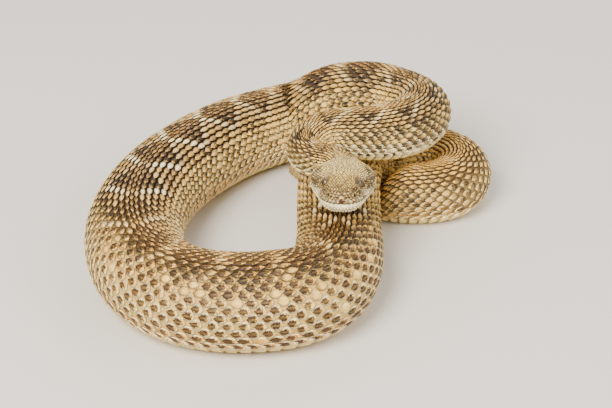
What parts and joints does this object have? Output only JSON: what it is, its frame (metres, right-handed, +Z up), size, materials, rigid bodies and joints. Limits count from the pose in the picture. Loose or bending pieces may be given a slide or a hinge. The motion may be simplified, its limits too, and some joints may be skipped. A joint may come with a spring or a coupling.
{
  "type": "western diamondback rattlesnake",
  "caption": "Life-size still model of a western diamondback rattlesnake lying in a loose coil, head level and facing forward on its own body, rattle tucked under.",
  "frame": {"origin": "the floor point under the middle of the coil's box", "axes": "+Z up, the snake's face looks along -Y, +X to the right of someone who faces it"},
  "size_m": [0.2434, 0.2498, 0.0796],
  "materials": {
    "scaly_skin": "dry keeled scales, tan and cream with dark brown diamonds, satin",
    "pale_scales": "smooth pale cream scales of the lower jaw, satin",
    "eye": "wet bronze-brown eye with an upright slit pupil, glossy",
    "rattle_horn": "dry horn of the rattle's segments, dull"
  },
  "bodies": {
    "root": {"head": "scaly_skin", "jaw": "pale_scales", "eye_left": "eye", "eye_right": "eye", "neck": "scaly_skin", "body_01": "scaly_skin", "body_02": "scaly_skin", "body_03": "scaly_skin", "body_04": "scaly_skin", "body_05": "scaly_skin", "body_06": "scaly_skin", "body_07": "scaly_skin", "body_08": "scaly_skin", "body_09": "scaly_skin", "body_10": "scaly_skin", "body_11": "scaly_skin", "tail": "scaly_skin", "rattle": "rattle_horn"}
  },
  "joints": []
}
